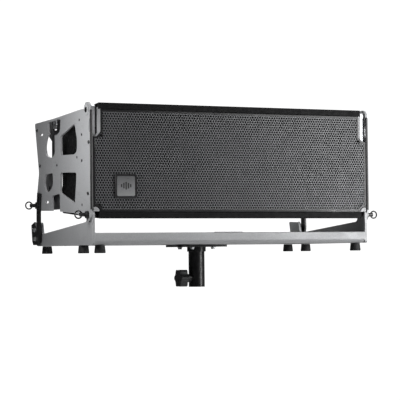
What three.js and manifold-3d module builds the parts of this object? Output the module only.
// Compact line-array loudspeaker cabinet, pinned to its flat stacking frame.
// Millimetres, +Z up, +X to the cabinet's right seen from the front, +Y to the rear.
// The origin is the pole seat: the pole's axis meets the face its top end bears on.
import * as THREE from 'three';
import { mergeVertices } from 'three/addons/utils/BufferGeometryUtils.js';
import Module from 'manifold-3d';

const wasm = await Module();
wasm.setup();

// ---- Driving dimensions ----

const GAP = 0.3; // between pieces that touch
const WELD = 0.001; // vertices closer than this are one
const FRONT_Y = -229; // plane of the grille
const TOP_Z = 352; // top front edge of the cabinet
const HEIGHT = 280;
const MIDDLE_Z = TOP_Z - HEIGHT / 2;
const WEDGE = Math.tan(THREE.MathUtils.degToRad(4.5)); // slope of top and bottom, each
const BODY = { halfWidth: 366, rearHalfWidth: 292, taperFrom: 245, depth: 376, panel: 16 };
const PLATE = { outer: 388, thickness: 5 };
const FRONT_PIN = { depth: 18, drop: 270, seat: 388.6 }; // seat is the inner face of the pin's collar
const REAR_PIN = { depth: 352, drop: 238, seat: 393.8 };
const PIN_RADIUS = 5;
const PIN_HOLE = 5.4;
const TILT = 3; // degrees up or down from level
const RAIL = { bottom: 9, top: 38, wall: 3, chamfer: 8, depth: 38, rear: 400 };
const SIDE_RAIL = { inner: 376.7, outer: 382.7 };
const BRACKET = { inner: 388.4, outer: 393.4 }; // outside the rigging plate
const POLE = { bore: 18, outer: 21, length: 101 };
const WOOFER = { x: 232, mount: 24 };
const AMP = { halfWidth: 170, halfHeight: 72, thickness: 3 };

// ---- Materials ----

function finish(color, roughness, metalness) {
  return new THREE.MeshStandardMaterial({ color, roughness, metalness });
}

const greySteel = finish(0xa4a5a6, 0.5, 0.3);
const blackPaint = finish(0x161617, 0.75, 0);
const blackSteel = finish(0x1b1b1c, 0.5, 0.4);
const grilleSteel = finish(0x3c3d40, 0.55, 0.4);
const zinc = finish(0xb8babc, 0.32, 0.9);
const castAlloy = finish(0x6f7174, 0.5, 0.8);
const ferrite = finish(0x2c2c2e, 0.6, 0.3);
const rubber = finish(0x0f0f10, 0.9, 0);
const foam = finish(0x141415, 1, 0);
const plastic = finish(0x1a1a1b, 0.55, 0);
const paper = finish(0x222222, 0.85, 0);
const badgeAlloy = finish(0xb4b5b7, 0.35, 0.8);
const boardGreen = finish(0x2a5a3c, 0.6, 0.1);
const brass = finish(0xb08d4c, 0.35, 0.9);

// ---- Drawing and joining ----

const X = new THREE.Vector3(1, 0, 0);
const Y = new THREE.Vector3(0, 1, 0);
const Z = new THREE.Vector3(0, 0, 1);
const BASES = {
  x: new THREE.Matrix4().makeBasis(Y, Z, X),
  y: new THREE.Matrix4().makeBasis(X, Z, Y.clone().negate()),
  z: new THREE.Matrix4(),
};

// A point of a side view: depth behind the grille plane, drop below the top front edge.
function at(depth, drop) {
  return new THREE.Vector2(FRONT_Y + depth, TOP_Z - drop);
}

function points(pairs) {
  return pairs.map(([u, v]) => new THREE.Vector2(u, v));
}

function sideView(pairs) {
  return pairs.map(([depth, drop]) => at(depth, drop));
}

function circle(centre, radius, sides = 20) {
  const step = (2 * Math.PI) / sides;
  return Array.from({ length: sides }, (_, i) => new THREE.Vector2(
    centre.x + radius * Math.cos(step * i),
    centre.y + radius * Math.sin(step * i),
  ));
}

function rectangle(x0, x1, y0, y1) {
  return points([[x0, y0], [x1, y0], [x1, y1], [x0, y1]]);
}

// Replaces each corner of a polygon by a short curve.
function rounded(corners, radius, steps = 3) {
  const path = new THREE.Path();
  corners.forEach((corner, i) => {
    const before = corners.at(i - 1).clone().sub(corner).setLength(radius).add(corner);
    const after = corners[(i + 1) % corners.length].clone().sub(corner).setLength(radius).add(corner);
    if (i === 0) path.moveTo(before.x, before.y);
    else path.lineTo(before.x, before.y);
    path.quadraticCurveTo(corner.x, corner.y, after.x, after.y);
  });
  return path.getPoints(steps);
}

// Turns a closed three.js geometry into a solid that can be joined and cut.
function solid(geometry) {
  geometry.deleteAttribute('normal');
  geometry.deleteAttribute('uv');
  const merged = mergeVertices(geometry, WELD);
  const corner = (i) => merged.index.getX(i);
  const triangles = [];
  for (let i = 0; i < merged.index.count; i += 3) {
    const [a, b, c] = [corner(i), corner(i + 1), corner(i + 2)];
    if (a !== b && b !== c && c !== a) triangles.push(a, b, c);
  }
  return new wasm.Manifold(new wasm.Mesh({
    numProp: 3,
    vertProperties: new Float32Array(merged.attributes.position.array),
    triVerts: new Uint32Array(triangles),
  }));
}

function toGeometry(body) {
  const mesh = body.getMesh();
  const geometry = new THREE.BufferGeometry();
  geometry.setAttribute('position', new THREE.BufferAttribute(new Float32Array(mesh.vertProperties), 3));
  geometry.setIndex(new THREE.BufferAttribute(new Uint32Array(mesh.triVerts), 1));
  geometry.computeVertexNormals();
  return geometry;
}

// An outline drawn in (y, z) runs along x, one in (x, z) along y and one in (x, y) along z.
function prism(axis, outline, from, to, holes = []) {
  const shape = new THREE.Shape(outline);
  shape.holes = holes.map((hole) => new THREE.Path(hole));
  const geometry = new THREE.ExtrudeGeometry(shape, { depth: to - from, bevelEnabled: false });
  geometry.translate(0, 0, axis === 'y' ? -to : from);
  return solid(geometry.applyMatrix4(BASES[axis]));
}

function block(x0, x1, y0, y1, z0, z1) {
  return prism('z', rectangle(x0, x1, y0, y1), z0, z1);
}

// A profile of [radius, height] pairs turned about the y axis.
function turned(profile, sides = 20) {
  return new THREE.LatheGeometry(points(profile), sides);
}

function join(...bodies) {
  return bodies.reduce((sum, body) => sum.add(body));
}

function cut(body, ...tools) {
  return tools.reduce((rest, tool) => rest.subtract(tool), body);
}

// The mirror image in the plane x = 0, with its faces turned to point out again.
function mirrored(geometry) {
  const copy = geometry.clone().scale(-1, 1, 1);
  const index = copy.index.array;
  for (let i = 0; i < index.length; i += 3) {
    [index[i], index[i + 1]] = [index[i + 1], index[i]];
  }
  copy.computeVertexNormals();
  return copy;
}

const cabinet = new THREE.Group();

function place(name, body, material) {
  const mesh = new THREE.Mesh(toGeometry(body), material);
  mesh.name = name;
  cabinet.add(mesh);
}

// Places the right-hand piece as modelled and its mirror image on the left.
function placePair(name, body, material) {
  place(`${name}_right`, body, material);
  const left = new THREE.Mesh(mirrored(toGeometry(body)), material);
  left.name = `${name}_left`;
  cabinet.add(left);
}

// ---- Enclosure ----

// The side walls turn in behind BODY.taperFrom by this much per unit of depth.
const TAPER = (BODY.halfWidth - BODY.rearHalfWidth) / (BODY.depth - BODY.taperFrom);
const TAPER_WALL = BODY.panel * Math.hypot(1, TAPER); // the tapered wall, measured along x

// Half width of the enclosure's outside at a depth.
function bodyHalfWidth(depth) {
  return BODY.halfWidth - TAPER * Math.max(0, depth - BODY.taperFrom);
}

// The space between the sloping top and bottom panels.
function insideWedge() {
  const edge = BODY.panel + GAP;
  const far = BODY.depth + 1;
  return prism('x', sideView([
    [0, HEIGHT - edge], [far, HEIGHT - edge - WEDGE * far], [far, edge + WEDGE * far], [0, edge],
  ]), -BODY.halfWidth, BODY.halfWidth);
}

function planPoints(pairs) {
  return points(pairs.map(([x, depth]) => [x, FRONT_Y + depth]));
}

// A sloping panel: its plan outline, lifted to zLow and sheared so it climbs by slope per unit depth.
function slopingPanel(zLow, slope) {
  const { halfWidth, rearHalfWidth, taperFrom, depth, panel } = BODY;
  const plan = planPoints([
    [-halfWidth, 0], [halfWidth, 0], [halfWidth, taperFrom], [rearHalfWidth, depth],
    [-rearHalfWidth, depth], [-halfWidth, taperFrom],
  ]);
  const geometry = new THREE.ExtrudeGeometry(new THREE.Shape(plan), { depth: panel, bevelEnabled: false });
  const shear = new THREE.Matrix4().makeShear(0, 0, 0, slope, 0, 0);
  geometry.translate(0, -FRONT_Y, 0).applyMatrix4(shear).translate(0, FRONT_Y, zLow);
  return solid(geometry);
}

function sidePanel() {
  const start = 8;
  const innerCorner = BODY.taperFrom - (TAPER_WALL - BODY.panel) / TAPER;
  const plan = planPoints([
    [BODY.halfWidth, start], [BODY.halfWidth, BODY.taperFrom], [BODY.rearHalfWidth, BODY.depth],
    [BODY.rearHalfWidth - TAPER_WALL, BODY.depth], [BODY.halfWidth - BODY.panel, innerCorner],
    [BODY.halfWidth - BODY.panel, start],
  ]);
  return prism('z', plan, TOP_Z - HEIGHT, TOP_Z).intersect(insideWedge());
}

function backPanel() {
  const front = BODY.depth - BODY.panel;
  const inner = (depth) => bodyHalfWidth(depth) - TAPER_WALL - GAP;
  const plan = planPoints([
    [-inner(front), front], [inner(front), front], [inner(BODY.depth), BODY.depth],
    [-inner(BODY.depth), BODY.depth],
  ]);
  const opening = block(-163, 163, 0, FRONT_Y + BODY.depth + 1, MIDDLE_Z - 61, MIDDLE_Z + 61);
  return cut(prism('z', plan, TOP_Z - HEIGHT, TOP_Z).intersect(insideWedge()), opening);
}

const HORN_MOUTH = { halfWidth: 104, halfHeight: 112 };

function baffle() {
  const front = FRONT_Y + WOOFER.mount;
  const half = BODY.halfWidth - BODY.panel - GAP;
  const board = block(-half, half, front, front + 15, TOP_Z - HEIGHT, TOP_Z).intersect(insideWedge());
  const wooferHole = (x) => prism('y', circle(new THREE.Vector2(x, MIDDLE_Z), 95, 24), front - 1, front + 16);
  const { halfWidth, halfHeight } = HORN_MOUTH;
  const hornHole = prism('y', rectangle(-halfWidth, halfWidth, MIDDLE_Z - halfHeight, MIDDLE_Z + halfHeight),
    front - 1, front + 16);
  return cut(board, wooferHole(-WOOFER.x), wooferHole(WOOFER.x), hornHole);
}

place('top_panel', slopingPanel(TOP_Z - BODY.panel, -WEDGE), blackPaint);
place('bottom_panel', slopingPanel(TOP_Z - HEIGHT, WEDGE), blackPaint);
placePair('side_panel', sidePanel(), blackPaint);
place('back_panel', backPanel(), blackPaint);
place('baffle', baffle(), blackPaint);

// ---- Front grille ----

const GRILLE = { halfWidth: 381, creaseX: 234, sweep: 3, thickness: 2, top: 16.5, bottom: 263.5 };

// Flat in the middle and swept back a little outside the two creases; notched for the links.
function grille() {
  const { halfWidth, creaseX, sweep, thickness, top, bottom } = GRILLE;
  const plan = planPoints([
    [-halfWidth, sweep], [-creaseX, 0], [creaseX, 0], [halfWidth, sweep],
    [halfWidth, sweep + thickness], [creaseX, thickness], [-creaseX, thickness],
    [-halfWidth, sweep + thickness],
  ]);
  const sheet = prism('z', plan, TOP_Z - bottom, TOP_Z - top);
  const notch = (side, innerX, from, to) => {
    const [x0, x1] = side > 0 ? [innerX, halfWidth + 1] : [-halfWidth - 1, -innerX];
    return block(x0, x1, FRONT_Y - 1, FRONT_Y + 9, TOP_Z - to, TOP_Z - from);
  };
  return cut(sheet, notch(1, 361, 0, 80), notch(-1, 361, 0, 80),
    notch(1, 366, 253, HEIGHT), notch(-1, 366, 253, HEIGHT));
}

function badge() {
  const corners = rectangle(-325, -267, TOP_Z - 231, TOP_Z - 172);
  return prism('y', rounded(corners, 5), FRONT_Y - 2.7, FRONT_Y + 0.3);
}

place('grille', grille(), grilleSteel);
place('grille_foam', block(-348, 348, FRONT_Y + 5.5, FRONT_Y + 11.5, MIDDLE_Z - 122, MIDDLE_Z + 122), foam);
place('badge', badge(), badgeAlloy);

// ---- Drivers ----

// Moves a piece turned about y so that its heights become depths behind the grille plane.
function driver(profile, x, sides) {
  return solid(turned(profile, sides).translate(x, FRONT_Y, MIDDLE_Z));
}

function wooferBasket(x) {
  const shell = driver([
    [89.5, 19.7], [107, 19.7], [107, 23.7], [93, 23.7], [93, 30], [66, 76], [66, 83.7], [32, 83.7],
    [32, 79], [60, 79], [86, 30], [89.5, 28], [89.5, 19.7],
  ], x);
  const window = (turn) => {
    const hole = new THREE.BoxGeometry(46, 34, 60).translate(0, FRONT_Y + 55, 90);
    return solid(hole.rotateY(turn).translate(x, 0, MIDDLE_Z));
  };
  const quarter = Math.PI / 2;
  return cut(shell, ...[0, 1, 2, 3].map((i) => window(quarter * (i + 0.5))));
}

function wooferMagnet(x) {
  return driver([
    [0, 84], [24, 84], [24, 108], [30, 108], [30, 88.5], [27, 88.5], [27, 84], [62, 84], [62, 114], [0, 114],
  ], x);
}

function wooferSurround(x) {
  const roll = Array.from({ length: 5 }, (_, i) => {
    const turn = Math.PI * (1 - i / 4);
    return [82.5 + 3.5 * Math.cos(turn), 24 - 3.5 * Math.sin(turn)];
  });
  return driver([...roll, [89, 24], [89, 25.5], [79, 25.5], [79, 24]], x);
}

function wooferCone(x) {
  return driver([
    [0, 47], [16, 50], [28, 57], [78, 25.5], [78, 27.5], [26, 62], [26, 98], [25, 98], [25, 60],
    [15, 52.5], [0, 49],
  ], x);
}

['left', 'right'].forEach((side) => {
  const x = side === 'left' ? -WOOFER.x : WOOFER.x;
  place(`woofer_basket_${side}`, wooferBasket(x), castAlloy);
  place(`woofer_magnet_${side}`, wooferMagnet(x), ferrite);
  place(`woofer_surround_${side}`, wooferSurround(x), rubber);
  place(`woofer_cone_${side}`, wooferCone(x), paper);
});

// A closed solid through rectangular sections [depth, halfWidth, halfHeight], front to back.
function rectangularLoft(sections) {
  const corners = sections.flatMap(([depth, w, h]) => [[-w, -h], [w, -h], [w, h], [-w, h]]
    .map(([x, z]) => [x, FRONT_Y + depth, MIDDLE_Z + z]));
  const index = [0, 1, 2, 0, 2, 3];
  for (let ring = 0; ring < sections.length - 1; ring += 1) {
    for (let side = 0; side < 4; side += 1) {
      const a = ring * 4 + side;
      const b = ring * 4 + ((side + 1) % 4);
      index.push(a, a + 4, b + 4, a, b + 4, b);
    }
  }
  const last = (sections.length - 1) * 4;
  index.push(last, last + 2, last + 1, last, last + 3, last + 2);
  const geometry = new THREE.BufferGeometry();
  geometry.setAttribute('position', new THREE.Float32BufferAttribute(corners.flat(), 3));
  geometry.setIndex(index);
  return solid(geometry);
}

const HORN = { mouth: 19.7, throat: 112, wall: 4 };

function waveguide() {
  const { halfWidth, halfHeight } = HORN_MOUTH;
  const { mouth, throat, wall } = HORN;
  const sections = [[mouth, halfWidth - 5, halfHeight - 6], [60, 40, 106], [90, 18, 60], [throat, 18, 18]];
  const outer = rectangularLoft(sections.map(([d, w, h]) => [d, w + wall, h + wall]));
  const inner = rectangularLoft(sections.map(([d, w, h], i) => [d + [-1, 0, 0, 1][i], w, h]));
  const flange = block(-40, 40, FRONT_Y + throat - 5, FRONT_Y + throat, MIDDLE_Z - 40, MIDDLE_Z + 40);
  return cut(join(outer, flange), inner);
}

function compressionDriver() {
  const from = HORN.throat + GAP;
  return driver([
    [12, from], [40, from], [40, from + 10], [54, from + 14], [54, from + 48], [46, from + 54],
    [0, from + 54], [0, from + 30], [12, from + 30], [12, from],
  ], 0, 16);
}

place('waveguide', waveguide(), plastic);
place('compression_driver', compressionDriver(), ferrite);

// ---- Amplifier module ----

const PANEL_BACK = BODY.depth + GAP; // depth of the panel's front face
const PANEL_FACE = PANEL_BACK + AMP.thickness; // depth of its outer face
const SOCKETS = {
  power_inlet: [78, 28], power_link: [116, 28], xlr_input: [78, -28], xlr_link: [116, -28],
};
const KNOB_AT = [149, 28];
const BUTTON_AT = [149, -6];
const ROCKER = { x: 40, halfWidth: 7, halfHeight: 12, throw: 8 };

function panelPoint([x, up]) {
  return new THREE.Vector2(x, MIDDLE_Z + up);
}

// A rod along y between two depths, at a place on the amplifier panel.
function rod(place2d, radius, from, to, sides = 16) {
  return prism('y', circle(panelPoint(place2d), radius, sides), FRONT_Y + from, FRONT_Y + to);
}

function ampPanel() {
  const sheet = prism('y', rounded(rectangle(-AMP.halfWidth, AMP.halfWidth, MIDDLE_Z - AMP.halfHeight,
    MIDDLE_Z + AMP.halfHeight), 6), FRONT_Y + PANEL_BACK, FRONT_Y + PANEL_FACE);
  const finCount = 13;
  const fins = Array.from({ length: finCount }, (_, i) => {
    const x = -156 + i * 13;
    return block(x - 1.5, x + 1.5, FRONT_Y + PANEL_FACE - 0.5, FRONT_Y + PANEL_FACE + 10,
      MIDDLE_Z - 60, MIDDLE_Z + 60);
  });
  const past = [PANEL_BACK - 1, PANEL_FACE + 1];
  const socketHoles = Object.values(SOCKETS).map((spot) => rod(spot, 12, ...past, 16));
  const rockerHole = block(ROCKER.x - ROCKER.halfWidth - 1, ROCKER.x + ROCKER.halfWidth + 1,
    FRONT_Y + past[0], FRONT_Y + past[1], MIDDLE_Z - ROCKER.halfHeight - 1, MIDDLE_Z + ROCKER.halfHeight + 1);
  const controlHoles = [rod(KNOB_AT, 3.6, ...past, 12), rod(BUTTON_AT, 4.6, ...past, 12), rockerHole];
  return cut(join(sheet, ...fins), ...socketHoles, ...controlHoles);
}

const CHASSIS = { halfWidth: 158, halfHeight: 56, front: 290, wall: 2 };

function ampChassis() {
  const { halfWidth, halfHeight, front, wall } = CHASSIS;
  const box = (grow, from, to) => block(-halfWidth - grow, halfWidth + grow, FRONT_Y + from, FRONT_Y + to,
    MIDDLE_Z - halfHeight - grow, MIDDLE_Z + halfHeight + grow);
  return cut(box(0, front, BODY.depth), box(-wall, front + wall, BODY.depth + 1));
}

function amplifierBoard() {
  const board = block(-146, 14, FRONT_Y + 332, FRONT_Y + 334, MIDDLE_Z - 48, MIDDLE_Z + 48);
  const transformer = rod([-112, 0], 28, 300, 332.5, 20);
  const capacitors = [-30, 30].flatMap((up) => [-62, -40].map((x) => rod([x, up], 9, 302, 332.5, 8)));
  const heatSpreader = block(-24, 6, FRONT_Y + 300, FRONT_Y + 332.5, MIDDLE_Z - 40, MIDDLE_Z + 40);
  return join(board, transformer, ...capacitors, heatSpreader);
}

// A round chassis socket: square flange outside, barrel through the panel, blind recess.
function socket(spot, recess) {
  const { x, y } = panelPoint(spot);
  const flange = prism('y', rounded(rectangle(x - 13, x + 13, y - 15.5, y + 15.5), 3),
    FRONT_Y + PANEL_FACE + GAP, FRONT_Y + PANEL_FACE + 2.5);
  const barrel = rod(spot, 11.6, PANEL_BACK - 18, PANEL_FACE + 3.5, 16);
  return cut(join(flange, barrel), rod(spot, recess, PANEL_BACK - 12, PANEL_FACE + 5, 12));
}

function levelKnob() {
  const grip = rod(KNOB_AT, 8, PANEL_FACE + 0.8, PANEL_FACE + 10, 16);
  const shaft = rod(KNOB_AT, 3, PANEL_BACK - 8, PANEL_FACE + 1.2, 12);
  const [x, up] = KNOB_AT;
  const pointer = block(x - 0.7, x + 0.7, FRONT_Y + PANEL_FACE + 8.8, FRONT_Y + PANEL_FACE + 11,
    MIDDLE_Z + up + 1, MIDDLE_Z + up + 9);
  return cut(join(grip, shaft), pointer);
}

function setupButton() {
  return rod(BUTTON_AT, 4, PANEL_BACK - 3, PANEL_FACE + 3, 16);
}

// A rocker with two faces that meet in a shallow ridge, lying on its lower face's side.
function powerRocker() {
  const { x, halfWidth, halfHeight, throw: turn } = ROCKER;
  const ridge = Math.tan(THREE.MathUtils.degToRad(turn)) * halfHeight;
  const outline = points([
    [0, -halfHeight], [ridge, 0], [0, halfHeight], [-5, halfHeight - 2], [-5, 2 - halfHeight],
  ]);
  const geometry = toGeometry(prism('x', outline, -halfWidth, halfWidth));
  geometry.rotateX(THREE.MathUtils.degToRad(turn));
  return solid(geometry.translate(x, FRONT_Y + PANEL_FACE + 1.5, MIDDLE_Z));
}

place('amp_panel', ampPanel(), blackSteel);
place('amp_chassis', ampChassis(), zinc);
place('amplifier_board', amplifierBoard(), boardGreen);
Object.entries(SOCKETS).forEach(([name, spot]) => {
  place(name, socket(spot, name.startsWith('xlr') ? 8.5 : 9.5), name.startsWith('xlr') ? zinc : plastic);
});
place('level_knob', levelKnob(), plastic);
place('setup_button', setupButton(), plastic);
place('power_rocker', powerRocker(), plastic);

// ---- Rigging plates ----

const PLATE_OUTLINE = [
  [2, 14], [62, 13], [240, 21], [386, 24], [357, 154], [377, 225], [351, 252], [242, 255], [98, 265],
  [30, 276], [2, 272],
];
const PLATE_OPENINGS = {
  front_upper: [[201, 69], [102, 44], [86, 85], [88, 113], [104, 120], [198, 117]],
  front_lower: [[201, 160], [91, 165], [104, 241], [205, 210]],
  rear_upper: [[240, 52], [264, 48], [300, 66], [312, 90], [302, 112], [262, 120], [240, 112]],
  rear_lower: [[256, 158], [312, 160], [322, 182], [308, 206], [276, 204], [256, 190]],
  link_slot_top: [[198, 25], [292, 28], [286, 56], [262, 64], [222, 64], [202, 55]],
  link_slot_bottom: [[207, 212], [264, 216], [264, 262], [207, 262]],
};
const PLATE_RECESS = [[-8, 33], [9, 42], [9, 70], [-8, 82]]; // shallow hollow in the front edge
const PLATE_SLOTS = [[326, 53, 350, 59], [288, 228, 312, 234]]; // [front, top, rear, bottom]
const PLATE_HOLES = [[8, 96], [15, 219], [367, 43], [348, 136]];

function pinCircle({ depth, drop }, radius, sides) {
  return circle(at(depth, drop), radius, sides);
}

// A pressed upright bead, crossing the band between the rear windows.
function plateBead(depth) {
  const baseX = PLATE.outer - 0.5;
  const plan = planPoints([
    [baseX - 2, depth - 9], [baseX, depth - 9], [baseX + 2, depth - 4], [baseX + 2, depth + 4],
    [baseX, depth + 9], [baseX - 2, depth + 9],
  ]);
  return prism('z', plan, at(0, 153).y, at(0, 125).y);
}

// A flat steel plate with bosses, beads and a rib to the enclosure.
function riggingPlate() {
  const { outer, thickness } = PLATE;
  const sheetSpan = [outer - thickness, outer];
  const across = [outer - 20, outer + 10];
  const boss = { depth: 21, drop: 17 };
  const outline = join(
    prism('x', rounded(sideView(PLATE_OUTLINE), 7, 4), ...sheetSpan),
    prism('x', pinCircle(boss, 19, 40), ...sheetSpan),
    prism('x', pinCircle(FRONT_PIN, 16, 32), ...sheetSpan),
  );
  const openings = Object.values(PLATE_OPENINGS).map((hole) => (
    prism('x', rounded(sideView(hole), 8, 5), ...across)));
  const slots = PLATE_SLOTS.map(([front, top, back, bottom]) => prism('x',
    rounded(sideView([[front, bottom], [back, bottom], [back, top], [front, top]]), 2.8), ...across));
  const recess = prism('x', rounded(sideView(PLATE_RECESS), 6, 4), ...across);
  const sheet = cut(outline, recess, ...openings, ...slots);
  const bossPad = prism('x', pinCircle(boss, 15, 36), outer - 1, outer + 2);
  const rib = prism('x', sideView([[44, 258], [50, 258], [50, 18], [44, 18]]),
    BODY.halfWidth + GAP, outer - thickness + 1);
  const pinHoles = [FRONT_PIN, REAR_PIN].map((pin) => prism('x', pinCircle(pin, PIN_HOLE, 20), ...across));
  const screwHoles = PLATE_HOLES.map(([depth, drop]) => (
    prism('x', circle(at(depth, drop), 3.5, 8), ...across)));
  const linkHole = prism('x', pinCircle(boss, PIN_HOLE, 20), ...across);
  return cut(join(sheet, bossPad, rib, plateBead(252), plateBead(312)),
    ...pinHoles, ...screwHoles, linkHole);
}

// Steel bar that stows beside the enclosure and slides up to reach the cabinet above.
function frontLink() {
  const bar = prism('x', rounded(sideView([[9, 112], [38, 112], [38, 4], [9, 4]]), 10), 371, 379);
  const holes = [26, 50].map((drop) => prism('x', pinCircle({ depth: 23.5, drop }, PIN_HOLE, 12), 370, 380));
  return cut(bar, ...holes);
}

// Fork and bar beside the plate, and below them a broad head, set inwards, with splay-angle holes.
function rearLink() {
  const bar = sideView([
    [214, 22], [244, 22], [244, 50], [274, 50], [274, 22], [306, 22], [306, 60], [281, 76], [281, 160],
    [254, 160], [254, 78], [214, 62],
  ]);
  const head = sideView([
    [254, 140], [281, 140], [338, 158], [342, 200], [322, 222], [290, 228], [284, 251], [226, 251],
    [226, 205],
  ]);
  const holes = [[272, 207], [290, 202], [308, 194]].map(([depth, drop]) => (
    prism('x', circle(at(depth, drop), 4), 371, 380)));
  return cut(join(prism('x', bar, 374.4, 380.4), prism('x', head, 371.9, 377.3)), ...holes);
}

placePair('rigging_plate', riggingPlate(), greySteel);
placePair('front_link', frontLink(), zinc);
placePair('rear_link', rearLink(), blackSteel);

// ---- Quick-release pins ----

const PIN_TIP = 366.8;
const RING = { radius: 9, wire: 1.9, eye: 15.8, slack: 0.65 }; // the eye's place outside the collar's seat

function pin({ depth, drop, seat }) {
  const body = turned([
    [0, PIN_TIP], [3.5, PIN_TIP], [PIN_RADIUS, PIN_TIP + 1.6], [PIN_RADIUS, seat], [9, seat],
    [9, seat + 5.4], [4.8, seat + 7.4], [4.8, seat + 20.6], [0, seat + 20.6],
  ], 20);
  body.rotateZ(-Math.PI / 2).translate(0, FRONT_Y + depth, TOP_Z - drop);
  const eye = prism('z', circle(new THREE.Vector2(seat + RING.eye, FRONT_Y + depth), 3, 16), 0, 400);
  return cut(solid(body), eye);
}

function pullRing({ depth, drop, seat }) {
  const { radius, wire, eye, slack } = RING;
  const ring = new THREE.TorusGeometry(radius, wire, 8, 24).rotateX(Math.PI / 2);
  return solid(ring.translate(seat + eye - slack + radius, FRONT_Y + depth, TOP_Z - drop));
}

placePair('front_pin', pin(FRONT_PIN), blackSteel);
placePair('rear_pin', pin(REAR_PIN), blackSteel);
placePair('front_pull_ring', pullRing(FRONT_PIN), blackSteel);
placePair('rear_pull_ring', pullRing(REAR_PIN), blackSteel);

// ---- Stacking frame ----

// Section of a tube along x, with its lower edges chamfered, moved inwards by inset.
function railSection(from, to, inset) {
  const chamfer = RAIL.chamfer - inset * (2 - Math.SQRT2);
  const [y0, y1] = [from + inset, to - inset];
  const [bottom, top] = [RAIL.bottom + inset, RAIL.top - inset];
  return points([
    [y0, top], [y0, bottom + chamfer], [y0 + chamfer, bottom], [y1 - chamfer, bottom],
    [y1, bottom + chamfer], [y1, top],
  ]);
}

// A cross tube of the frame, open at both ends.
function crossTube(halfLength, from, to) {
  const hollow = rounded(railSection(from, to, RAIL.wall), 1.5, 3);
  return prism('x', rounded(railSection(from, to, 0), 3.5, 4), -halfLength, halfLength, [hollow]);
}

const FRONT_RAIL = { from: FRONT_Y + 2, to: FRONT_Y + 2 + RAIL.depth };
const REAR_RAIL = { from: FRONT_Y + RAIL.rear - RAIL.depth, to: FRONT_Y + RAIL.rear };

function centreSpine() {
  const { bottom, top, wall } = RAIL;
  const half = 40;
  const outline = rectangle(-half, half, bottom + GAP, top);
  const hollow = rectangle(-half + wall, half - wall, bottom + GAP + wall, top - wall);
  return prism('y', outline, FRONT_RAIL.to + GAP, REAR_RAIL.from - GAP, [hollow]);
}

// Side plate with the lug for the front pin, a sloping gusset, a rear lug and a foot flange.
function sideRail() {
  const { inner, outer } = SIDE_RAIL;
  const profile = [
    [2, 343], [2, 268], [34, 268], [44, 287], [326, 310], [350, 312], [358, 282], [412, 280], [399, 336],
    [388, 343],
  ];
  const plate = join(
    prism('x', rounded(sideView(profile), 6, 4), inner, outer),
    prism('x', pinCircle(FRONT_PIN, 16, 32), inner, outer),
  );
  const flange = block(344, inner + 1, FRONT_RAIL.to + GAP, REAR_RAIL.from - GAP,
    RAIL.bottom, RAIL.bottom + 5);
  return cut(join(plate, flange), prism('x', pinCircle(FRONT_PIN, PIN_HOLE, 20), inner - 1, outer + 1));
}

// Points on an arc about the front pin, angles in degrees above the horizontal.
function tiltArc(radius, from, to, steps = 8) {
  return Array.from({ length: steps + 1 }, (_, i) => {
    const angle = THREE.MathUtils.degToRad(from + ((to - from) * i) / steps);
    return at(FRONT_PIN.depth + radius * Math.cos(angle), FRONT_PIN.drop - radius * Math.sin(angle));
  });
}

// Strap with a spacer, bolted outside the rear lug; the rear pin locks anywhere along its curved slot.
function rearBracket() {
  const reach = { depth: REAR_PIN.depth - FRONT_PIN.depth, rise: FRONT_PIN.drop - REAR_PIN.drop };
  const radius = Math.hypot(reach.depth, reach.rise);
  const level = THREE.MathUtils.radToDeg(Math.atan2(reach.rise, reach.depth));
  const strapHalf = 11;
  const slotHalf = PIN_HOLE + 0.2;
  const slotEnd = TILT + THREE.MathUtils.radToDeg(PIN_HOLE / radius) + 0.05;
  const strap = [
    ...tiltArc(radius + strapHalf, -4.5, level + slotEnd + 1.5),
    ...tiltArc(radius - strapHalf, level + slotEnd + 1.5, -4.5),
    ...sideView([[350, 340], [390, 340], [398, 330], [404, 288], [380, 280]]),
  ];
  const slot = [
    ...tiltArc(radius + slotHalf, level - slotEnd, level + slotEnd),
    ...tiltArc(radius - slotHalf, level + slotEnd, level - slotEnd),
  ];
  const spacer = prism('x', rounded(sideView([[356, 334], [390, 334], [397, 290], [362, 290]]), 4),
    SIDE_RAIL.outer + GAP, BRACKET.inner + 1);
  return join(prism('x', strap, BRACKET.inner, BRACKET.outer, [slot]), spacer);
}

// Flange under the spine, pole tube below it, and a threaded boss for the clamp screw.
const CLAMP_Z = -78;

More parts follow.
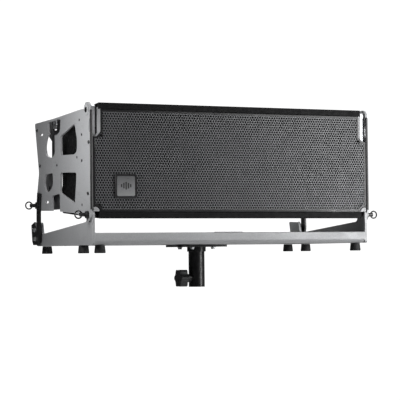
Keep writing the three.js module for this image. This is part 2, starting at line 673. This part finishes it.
function poleSocket() {
  const flange = prism('z', rounded(rectangle(-70, 70, -46, 46), 10), 3, RAIL.bottom);
  const hub = new THREE.Vector2(0, 0);
  const tube = prism('z', circle(hub, POLE.outer, 32), -POLE.length, 4);
  const bore = prism('z', circle(hub, POLE.bore, 32), -POLE.length - 1, 0);
  const screwAxis = new THREE.Vector2(0, CLAMP_Z);
  const boss = prism('x', circle(screwAxis, 11, 16), -28, -17);
  const collar = prism('z', circle(hub, POLE.outer + 3.5, 32), -9, 4);
  const screwHole = prism('x', circle(screwAxis, 4.5, 12), -30, 0);
  return cut(join(flange, tube, boss, collar), bore, screwHole);
}

function clampKnob() {
  const axis = new THREE.Vector2(0, CLAMP_Z);
  const lobes = 6;
  const sides = 60;
  const star = Array.from({ length: sides }, (_, i) => {
    const turn = (2 * Math.PI * i) / sides;
    const radius = 22 + 2.5 * Math.cos(lobes * turn);
    return new THREE.Vector2(radius * Math.cos(turn), CLAMP_Z + radius * Math.sin(turn));
  });
  const neck = prism('x', circle(axis, 10, 16), -34, -29);
  const screw = prism('x', circle(axis, 4, 12), -30, -22.5);
  return join(prism('x', star, -54, -33), neck, screw);
}

function foot(x, depth) {
  const height = 20 - GAP;
  const geometry = turned([[0, 0], [13, 0], [14, 2], [12, height], [0, height]], 24);
  geometry.rotateX(Math.PI / 2).translate(x, FRONT_Y + depth, RAIL.bottom - 20);
  return solid(geometry);
}

place('front_rail', crossTube(SIDE_RAIL.inner - GAP, FRONT_RAIL.from, FRONT_RAIL.to), greySteel);
place('rear_rail', crossTube(SIDE_RAIL.inner - GAP, REAR_RAIL.from, REAR_RAIL.to), greySteel);
place('centre_spine', centreSpine(), greySteel);
placePair('side_rail', sideRail(), greySteel);
placePair('rear_bracket', rearBracket(), blackSteel);
place('pole_socket', poleSocket(), blackSteel);
place('clamp_knob', clampKnob(), plastic);
place('clamp_pad', prism('x', circle(new THREE.Vector2(0, CLAMP_Z), 4, 12), -22.2, -18.2), brass);
placePair('foot_front', foot(357, 20), rubber);
place('foot_middle_left', foot(-370, 94), rubber);
place('foot_middle_right', foot(370, 306), rubber);
placePair('foot_rear', foot(357, 384), rubber);

export default cabinet;
